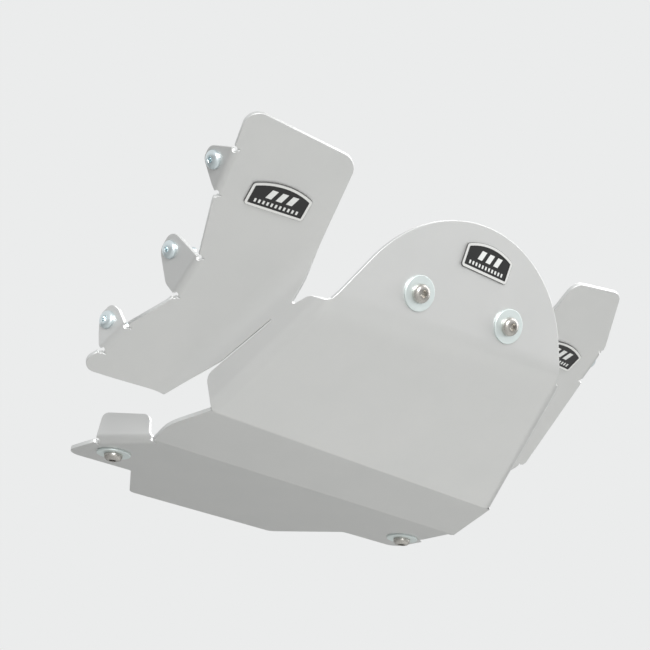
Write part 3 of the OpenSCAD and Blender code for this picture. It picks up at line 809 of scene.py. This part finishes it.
belly_face = Matrix.Identity(4)
tongue_face = face(belly_fold, band_fold, tongue_fold)
right_wing_face = face(belly_fold, band_fold, right_flange_fold, right_wing_fold)
left_wing_face = face(belly_fold, band_fold, left_flange_fold, left_wing_fold)
wing_screws = {}
for names, wing, tabs in ((("right_upper", "right_middle", "right_lower"), right_wing_face, right_tabs),
                          (("left_upper", "left_lower"), left_wing_face, left_tabs)):
    for name, tab in zip(names, tabs):
        spot = tab.fold.beside(tab.hole)[0]
        wing_screws["wing_screw_" + name] = outside(wing @ tab.fold.matrix(), spot, -tab.fold.direction)
big_screws = {"front_screw_right": outside(tongue_face, FRONT_SCREWS[0]),
              "front_screw_left": outside(tongue_face, FRONT_SCREWS[1]),
              "rear_screw_right": outside(belly_face, REAR_SCREWS[0]),
              "rear_screw_left": outside(belly_face, REAR_SCREWS[1])}
print("Screws:", len(wing_screws) + len(big_screws))

# %% [markdown]
# ## Zinc and steel
# The wing screws and the washers are steel under a thin bright zinc coat. Zinc is bluish and
# fairly smooth, but its crystals, a millimetre or two across, change the sheen from patch to
# patch. The washers are tumbled before they are coated, so they are duller and paler. The four
# large screws are bare stainless steel: warmer, darker and smoother.


# %% Zinc and steel materials
def plain_metal(name, base, low, high, crystal):
    """A metal or its coat: colour, range of roughness and size of its crystals."""
    material, tree, shader = blank_material(name)
    place = add(tree, "ShaderNodeTexCoord").outputs["Object"]
    patches = add(tree, "ShaderNodeTexVoronoi", {"Vector": place, "Scale": 1 / crystal})
    fine = add(tree, "ShaderNodeTexNoise", {"Vector": place, "Scale": 4 / crystal, "Detail": 3.0})
    coarse = add(tree, "ShaderNodeMath", {0: patches.outputs["Distance"], 1: 0.5},
                 operation="MULTIPLY")
    mixed = add(tree, "ShaderNodeMath", {0: fine.outputs["Fac"], 1: 0.6, 2: coarse},
                operation="MULTIPLY_ADD")
    gloss = add(tree, "ShaderNodeMapRange", {"Value": mixed, "To Min": low, "To Max": high})
    tree.links.new(gloss.outputs["Result"], shader.inputs["Roughness"])
    shader.inputs["Base Color"].default_value = colour(base)
    shader.inputs["Metallic"].default_value = 1.0
    return material


screw_zinc = plain_metal("bright_zinc_on_screws", "#DCE6E9", 0.24, 0.38, 1.5 * MM)
washer_zinc = plain_metal("tumbled_zinc_on_washers", "#E2EAE9", 0.4, 0.54, 2 * MM)
screw_steel = plain_metal("stainless_steel_screws", "#BAB7B2", 0.22, 0.34, 1.2 * MM)
print("Materials:", screw_zinc.name, washer_zinc.name, screw_steel.name)

# %% [markdown]
# ## Turned shapes
# Screws and washers are made on a lathe or look as if they were: a profile of radii and heights,
# turned round an axis. Rings of the profile may also follow a hexagon, which gives the socket
# for the hex key. Edges sharper than 20 degrees stay crisp, and each has a small break of its own.

# %% Turned shapes
SEGMENTS = 60
HEX = math.radians(60)
SHARP = math.radians(20)


def turned(name, profile, hexagons=()):
    """A piece turned round +Z from (radius, height) in mm. Rings listed in hexagons have six sides."""
    made, angles, rings = bmesh.new(), np.arange(SEGMENTS) * 2 * math.pi / SEGMENTS, []
    for k, (radius, z) in enumerate(profile):
        if radius == 0:
            rings.append([made.verts.new((0, 0, z * MM))] * SEGMENTS)
            continue
        radii = np.full(SEGMENTS, float(radius))
        if k in hexagons:
            radii *= math.cos(HEX / 2) / np.cos(angles % HEX - HEX / 2)
        rings.append([made.verts.new((r * math.cos(a) * MM, r * math.sin(a) * MM, z * MM))
                      for r, a in zip(radii, angles)])
    pairs = list(zip(rings, rings[1:])) + ([(rings[-1], rings[0])] if profile[0][0] > 0 else [])
    for low, high in pairs:
        for k in range(SEGMENTS):
            after = (k + 1) % SEGMENTS
            made.faces.new(list(dict.fromkeys((low[k], low[after], high[after], high[k]))))
    bmesh.ops.recalc_face_normals(made, faces=made.faces)
    mesh = bpy.data.meshes.new(name)
    made.to_mesh(mesh)
    made.free()
    mesh.polygons.foreach_set("use_smooth", np.ones(len(mesh.polygons), bool))
    mesh.set_sharp_from_angle(angle=SHARP)
    return new_object(name, mesh)


def hand_over(piece, node, place):
    """Put a finished piece in its place, and let it stand for the CAD node."""
    piece.data.transform(place)
    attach(piece, "root")
    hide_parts(node)


print("One turn in", SEGMENTS, "segments")

# %% [markdown]
# ## Washers
# Four broad washers spread the load of the large screws. They are punched and tumbled, so their
# edges are broken all round: a chamfer with one point in its middle is enough to look round.

# %% Washers
WASHER_R, WASHER_HOLE_R, WASHER_T, EDGE = 12, 4.2, 1.6, 0.3
WASHER_PROFILE = [(WASHER_HOLE_R, EDGE), (WASHER_HOLE_R + 0.1, 0.1), (WASHER_HOLE_R + EDGE, 0),
                  (WASHER_R - EDGE, 0), (WASHER_R - 0.1, 0.1), (WASHER_R, EDGE),
                  (WASHER_R, WASHER_T - EDGE), (WASHER_R - 0.1, WASHER_T - 0.1),
                  (WASHER_R - EDGE, WASHER_T), (WASHER_HOLE_R + EDGE, WASHER_T),
                  (WASHER_HOLE_R + 0.1, WASHER_T - 0.1), (WASHER_HOLE_R, WASHER_T - EDGE)]
for name, place in big_screws.items():
    washer = turned("round_" + name.replace("screw", "washer"), WASHER_PROFILE)
    washer.data.materials.append(washer_zinc)
    hand_over(washer, name.replace("screw", "washer"), place)
print("Washers:", len(big_screws))

# %% [markdown]
# ## Screw thread by nodes
# A thread seen from outside is a row of ridges, one pitch apart. The tree below sweeps a small
# square, standing on its corner, round a circle, puts a copy at each point of a line and joins
# the copies to the turned screw. The square's half width is a hair under half the pitch, so
# that neighbours don't touch.

# %% Thread tree
RIDGE_SHARE = 0.49
thread_tree, given = geometry_tree("Thread", {
    "Screw": "Geometry", "Turns": "Int", "Pitch": "Float", "Ridge radius": "Float",
    "First ridge": "Vector", "Step": "Vector", "Metal": "Material"}, "Screw")
line = add(thread_tree, "GeometryNodeMeshLine", {"Count": given["Turns"], "Offset": given["Step"],
                                                 "Start Location": given["First ridge"]})
circle_line = add(thread_tree, "GeometryNodeCurvePrimitiveCircle",
                  {"Resolution": SEGMENTS, "Radius": given["Ridge radius"]})
half_width = add(thread_tree, "ShaderNodeMath", {0: given["Pitch"], 1: RIDGE_SHARE},
                 operation="MULTIPLY")
section = add(thread_tree, "GeometryNodeCurvePrimitiveCircle",
              {"Resolution": 4, "Radius": half_width})
ridge = add(thread_tree, "GeometryNodeCurveToMesh", {"Curve": circle_line, "Profile Curve": section})
ridge = add(thread_tree, "GeometryNodeSetShadeSmooth", {"Geometry": ridge, "Shade Smooth": False})
ridges = add(thread_tree, "GeometryNodeInstanceOnPoints", {"Points": line, "Instance": ridge})
joined = add(thread_tree, "GeometryNodeJoinGeometry")
for part in (ridges.outputs[0], given["Screw"]):
    thread_tree.links.new(part, joined.inputs[0])
real = add(thread_tree, "GeometryNodeRealizeInstances", {0: joined})
coated = add(thread_tree, "GeometryNodeSetMaterial", {"Geometry": real, "Material": given["Metal"]})
add(thread_tree, "NodeGroupOutput", {"Screw": coated})
print("Thread tree:", len(thread_tree.nodes), "nodes")

# %% [markdown]
# ## Button head screws
# A button head is a low dome over a short straight rim, with a hex socket in it. The head's
# height and the socket go with the screw's size, as in the standard series, and the head widths
# are the real ones: 13.2 mm on the four large screws and 12.1 mm on the flanged small ones. A
# smooth neck, a little thinner than the thread, passes through the sheet.

# %% Screws
SHANK_END, NECK_END, NECK_STEP = -21, -4, 0.3


def button_screw(name, d, head_d, under, pitch, metal):
    """A button head screw whose seat is at height 0 and whose head starts at height under."""
    head_r, head_h, rim, flat_r = head_d / 2, 0.55 * d, 0.12 * d, 0.39 * d
    core = (d - pitch) / 2 - 0.02
    top, floor, point = under + head_h, under + 0.2 * head_h, 0.12 * d
    dome = [(flat_r + (head_r - flat_r) * math.cos(a), under + rim + (head_h - rim) * math.sin(a))
            for a in np.linspace(0, math.pi / 2, 12)]
    profile = [(0, SHANK_END), (core - point, SHANK_END), (core, SHANK_END + point),
               (core, NECK_END - NECK_STEP), (d / 2 - NECK_STEP, NECK_END), (d / 2 - NECK_STEP, under),
               (head_r - 0.15, under), (head_r, under + 0.15), *dome]
    socket = [(0.37 * d, top), (0.352 * d, top - 0.2), (0.352 * d, floor),
              (0.1 * d, floor - 0.15), (0, floor - 0.3)]
    first = len(profile)
    screw = turned(name, profile + socket, (first, first + 1, first + 2))
    turns = int((NECK_END - SHANK_END - point) / pitch)
    return run_tree(screw, thread_tree, name, turns=turns, pitch=pitch * MM,
                    ridge_radius=(d - pitch) / 2 * MM, first_ridge=(0, 0, (NECK_END - pitch) * MM),
                    step=(0, 0, -pitch * MM), metal=metal)


for name, place in big_screws.items():
    screw = button_screw("button_" + name, 8, 13.2, WASHER_T, 1.25, screw_steel)
    hand_over(screw, name, place)
for name, place in wing_screws.items():
    screw = button_screw("button_" + name, 6, 12.1, 0, 1.0, screw_zinc)
    hand_over(screw, name, place)
print("Screws:", len(big_screws) + len(wing_screws))

# %% [markdown]
# ## Badges
# A badge is a thin anodised plate with an arched top. A fine dark line, painted shadow round its
# edge, and a pale rim frame a black field with generic pale marks: three slanted bars above a row
# of ticks. The field is printed a little below the rim, and the dark line of painted shadow
# covers the cut edge.

# %% Badge materials
BADGE_W, BADGE_SIDE_H, BADGE_H, BADGE_T = 41.5, 15.7, 20.5, 1.2
BADGE_RIM, BADGE_SUNK, BADGE_CORNER_R = 2.0, 0.3, 2.4
SHEEN_SIZE = 3 * MM


def print_coat(name, base, low, high, metallic):
    """A printed or anodised coat with a faint unevenness in its sheen."""
    material, tree, shader = blank_material(name)
    place = add(tree, "ShaderNodeTexCoord").outputs["Object"]
    wave = add(tree, "ShaderNodeTexNoise", {"Vector": place, "Scale": 1 / SHEEN_SIZE, "Detail": 2.0})
    gloss = add(tree, "ShaderNodeMapRange", {"Value": wave.outputs["Fac"], "To Min": low, "To Max": high})
    tree.links.new(gloss.outputs["Result"], shader.inputs["Roughness"])
    shader.inputs["Base Color"].default_value = colour(base)
    shader.inputs["Metallic"].default_value = metallic
    return material


black_print = print_coat("black_anodised_field", "#191919", 0.35, 0.45, 0.0)
pale_rim = print_coat("pale_brushed_rim", "#DEDEDC", 0.35, 0.45, 0.5)
# Painted shadow: a dark coat on the badge's edge and side walls, where its edge shadow falls.
painted_edge_shadow = print_coat("dark_printed_line", "#4A4A49", 0.4, 0.5, 0.0)
pale_print = print_coat("pale_printed_marks", "#DADBD9", 0.4, 0.5, 0.2)
print("Materials:", black_print.name, pale_rim.name, painted_edge_shadow.name, pale_print.name)

# %% [markdown]
# ## Rows of marks by nodes
# One tree makes both rows: a box of the given size, leaned by moving its points sideways in
# step with their height, is copied along a line and joined to the badge.

# %% Tree for a row of marks
marks_tree, given = geometry_tree("Row of marks", {
    "Badge": "Geometry", "Count": "Int", "Step": "Vector", "First": "Vector", "Size": "Vector",
    "Lean": "Float", "Print": "Material"}, "Badge")
line = add(marks_tree, "GeometryNodeMeshLine", {"Count": given["Count"], "Offset": given["Step"],
                                                "Start Location": given["First"]})
box = add(marks_tree, "GeometryNodeMeshCube", {"Size": given["Size"]})
here = add(marks_tree, "GeometryNodeInputPosition")
height = add(marks_tree, "ShaderNodeSeparateXYZ", {0: here}).outputs["Y"]
aside = add(marks_tree, "ShaderNodeMath", {0: height, 1: given["Lean"]}, operation="MULTIPLY")
offset = add(marks_tree, "ShaderNodeCombineXYZ", {"X": aside})
leaned = add(marks_tree, "GeometryNodeSetPosition", {"Geometry": box, "Offset": offset})
row = add(marks_tree, "GeometryNodeInstanceOnPoints", {"Points": line, "Instance": leaned})
real = add(marks_tree, "GeometryNodeRealizeInstances", {0: row})
coated = add(marks_tree, "GeometryNodeSetMaterial", {"Geometry": real, "Material": given["Print"]})
joined = add(marks_tree, "GeometryNodeJoinGeometry")
for part in (coated.outputs[0], given["Badge"]):
    marks_tree.links.new(part, joined.inputs[0])
add(marks_tree, "NodeGroupOutput", {"Badge": joined})
print("Marks tree:", len(marks_tree.nodes), "nodes")

# %% [markdown]
# ## The badge's plate
# The plate is punched from thin sheet: straight sides, an arched top and rounded corners. It is
# lofted through copies of that outline, each a little further in, and every step of the loft has
# its own finish: a dark line of painted shadow on the edge, pale rim, then the black field, a
# little lower.

# %% Badge plate
rise = BADGE_H - BADGE_SIDE_H
arch_r = ((BADGE_W / 2) ** 2 + rise ** 2) / (2 * rise)
arch_end = math.asin(BADGE_W / 2 / arch_r)
arch = [(arch_r * math.sin(a), BADGE_H - arch_r + arch_r * math.cos(a))
        for a in np.linspace(arch_end, -arch_end, 17)]
badge_outline = outline([(-BADGE_W / 2, 0, BADGE_CORNER_R), (BADGE_W / 2, 0, BADGE_CORNER_R),
                         (*arch[0], BADGE_CORNER_R), *arch[1:-1], (*arch[-1], BADGE_CORNER_R)], 15)


def badge_body(name):
    """The badge's plate, lofted through copies of its outline: (inset, height, material) each."""
    levels = ((0, 0, 0), (0, BADGE_T - 0.25, 0), (0.08, BADGE_T - 0.08, 0), (0.25, BADGE_T, 0),
              (0.3, BADGE_T, 1), (BADGE_RIM, BADGE_T, 1), (BADGE_RIM + 0.1, BADGE_T - BADGE_SUNK, 2))
    count = len(badge_outline)
    verts = [(x * MM, y * MM, z * MM)
             for inset, z, _ in levels for x, y in moved_in(badge_outline, inset)]
    faces, slots = [tuple(range(count))[::-1]], [0]
    for k, (_, _, slot) in enumerate(levels[1:]):
        for i in range(count):
            j = (i + 1) % count
            faces.append((k * count + i, k * count + j, (k + 1) * count + j, (k + 1) * count + i))
            slots.append(slot)
    faces.append(tuple(range((len(levels) - 1) * count, len(levels) * count)))
    slots.append(2)
    mesh = bpy.data.meshes.new(name)
    mesh.from_pydata(verts, [], faces)
    for material in (painted_edge_shadow, pale_rim, black_print):
        mesh.materials.append(material)
    mesh.polygons.foreach_set("material_index", slots)
    return new_object(name, mesh)


print("Badge outline:", len(badge_outline), "points, arch radius", round(arch_r, 1), "mm")

# %% [markdown]
# ## Badges in their places
# One badge sits in the middle of the tongue, and one on each wing. Each gets both rows of marks
# in turn: three leaning bars, and eleven small ticks below them.

# %% Badges
MARK_T, BAR, BAR_PITCH, BAR_LEAN = 0.24, (4, 6.4), 7.2, 2.2 / 6.4
TICK, TICK_PITCH, TICKS = (1.3, 2.4), 2.9, 11
mark_z = BADGE_T - BADGE_SUNK + MARK_T / 2 - 0.02
for name, place in (("front", outside(tongue_face, (223.5, 6.8), -2.6 - 90)),
                    ("right", outside(right_wing_face, right_wing_fold.beside((-21.9, 42.3))[0], 6 - 90)),
                    ("left", outside(left_wing_face, left_wing_fold.beside((94.8, -3))[0], -5.5 - 90))):
    badge = badge_body("arched_badge_" + name)
    for count, step, mid_x, mid_y, size, lean in (
            (3, BAR_PITCH, BAR_LEAN * BAR[1] / 2, 8.45 + BAR[1] / 2, BAR, BAR_LEAN),
            (TICKS, TICK_PITCH, 0, 3.6 + TICK[1] / 2, TICK, 0)):
        first_x = mid_x - (count - 1) / 2 * step
        badge = run_tree(badge, marks_tree, badge.name, count=count, step=(step * MM, 0, 0),
                         first=(first_x * MM, mid_y * MM, mark_z * MM), print=pale_print,
                         size=(size[0] * MM, size[1] * MM, MARK_T * MM), lean=lean)
    hand_over(badge, "badge_" + name, place)
print("Badges: 3")

# %% [markdown]
# ## Floor, light and camera
# The plate is seen from low in front of its right side, so the camera looks up at it and sees
# only backdrop behind it. The backdrop is a plain pale grey, for the camera and for reflections
# alike. The focal length is given in pixels, as a camera fit gives it, and turned to the lens
# length that Blender wants.

# %% Camera
FOCAL, IMAGE_W = 1735.5, 650
CAMERA_PLACE = (981.17, -710.77, -316.09)
CAMERA_RIGHT, CAMERA_UP = (0.6143, 0.782, 0.1054), (0.2098, -0.2906, 0.9336)
CAMERA_BACK = (0.7607, -0.5514, -0.3425)
camera_data = bpy.data.cameras.new("camera")
camera_data.sensor_width = 36
camera_data.lens = FOCAL / IMAGE_W * camera_data.sensor_width
camera_data.clip_start, camera_data.clip_end = 0.05, 50
camera = bpy.data.objects.new("camera", camera_data)
bpy.context.scene.collection.objects.link(camera)
bpy.context.scene.camera = camera
axes = Matrix((CAMERA_RIGHT, CAMERA_UP, CAMERA_BACK)).transposed()
camera.matrix_world = Matrix.Translation(Vector(CAMERA_PLACE) * MM) @ axes.to_4x4()
print("Lens:", round(camera_data.lens, 2), "mm")

# %% [markdown]
# ## Light from the floor
# Satin metal shows what it faces. The belly faces the far floor, and the band and the front face
# the floor nearer by. So one soft lamp lights the floor beside the plate, and the light fades
# with distance: this is what makes the belly darker than the band, and the band darker than the
# front. The floor is matt paper, and its back is clear, so that a camera below it sees only
# backdrop. A second lamp in front and a weak one on the left fill in the tongue and the wings.

# %% Floor and world
FLOOR_Z, FLOOR_W = -0.62, 20
FLOOR_COLOUR, BACKDROP, SKY_LIGHT = "#D8D8D6", "#EBECEC", "#F4F6F8"
bpy.context.scene.view_settings.view_transform = "Standard"
floor_material, tree, shader = blank_material("matt_studio_paper")
shader.inputs["Base Color"].default_value = colour(FLOOR_COLOUR)
shader.inputs["Roughness"].default_value = 0.9
side = add(tree, "ShaderNodeNewGeometry").outputs["Backfacing"]
clear = add(tree, "ShaderNodeBsdfTransparent")
mixed = add(tree, "ShaderNodeMixShader", {0: side, 1: shader, 2: clear})
tree.links.new(mixed.outputs[0], tree.nodes["Material Output"].inputs["Surface"])
floor_mesh = bpy.data.meshes.new("floor")
floor_mesh.from_pydata([(-FLOOR_W, -FLOOR_W, FLOOR_Z), (FLOOR_W, -FLOOR_W, FLOOR_Z),
                        (FLOOR_W, FLOOR_W, FLOOR_Z), (-FLOOR_W, FLOOR_W, FLOOR_Z)], [], [(0, 1, 2, 3)])
floor_mesh.materials.append(floor_material)
floor = new_object("floor", floor_mesh)
floor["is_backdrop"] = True

world = bpy.data.worlds.new("soft_sky")
bpy.context.scene.world = world
world.use_nodes = True
tree = world.node_tree
rays = add(tree, "ShaderNodeLightPath").outputs
shown = add(tree, "ShaderNodeMath", {0: rays["Is Camera Ray"], 1: rays["Is Glossy Ray"]},
            operation="MAXIMUM")
seen_sky = add(tree, "ShaderNodeBackground", {"Color": colour(BACKDROP), "Strength": 1.0})
light_sky = add(tree, "ShaderNodeBackground", {"Color": colour(SKY_LIGHT), "Strength": 0.39})
sky = add(tree, "ShaderNodeMixShader", {0: shown, 1: light_sky, 2: seen_sky})
tree.links.new(sky.outputs[0], tree.nodes["World Output"].inputs["Surface"])
print("Floor at", FLOOR_Z, "m")

# %% [markdown]
# ## Soft boxes
# A soft box is a square area lamp, and its size sets how soft its light is. Each is pointed at
# a spot, because that is how a photographer thinks of it.


# %% Lamps
def lamp(name, place, target, size, power, tint="#FFFFFF"):
    data = bpy.data.lights.new(name, "AREA")
    data.shape, data.size, data.energy = "SQUARE", size, power
    data.color = colour(tint)[:3]
    made = bpy.data.objects.new(name, data)
    bpy.context.scene.collection.objects.link(made)
    made.location = place
    made.rotation_mode = "QUATERNION"
    made.rotation_quaternion = (Vector(target) - Vector(place)).to_track_quat("-Z", "Y")
    return made


MIDDLE_OF_PLATE = (0.05, 0, 0.07)
lamp("floor_soft_box", (0.1, 0.9, 0.7), (0.1, 0.85, FLOOR_Z), 1.4, 15.5)
lamp("front_soft_box", (3.2, -1.8, 0.9), MIDDLE_OF_PLATE, 1.6, 128)
lamp("left_soft_box", (2.0, 4.4, 0.9), MIDDLE_OF_PLATE, 2.0, 28)
print("Lamps:", len(bpy.data.lights))

# %% [markdown]
# ## The size of the dressed pieces
# The box round the dressed pieces, without the floor, is measured and printed.

# %% Measure the dressed box
low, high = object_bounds()
print("Dressed box in mm:", [round((b - a) / MM, 1) for a, b in zip(low, high)])
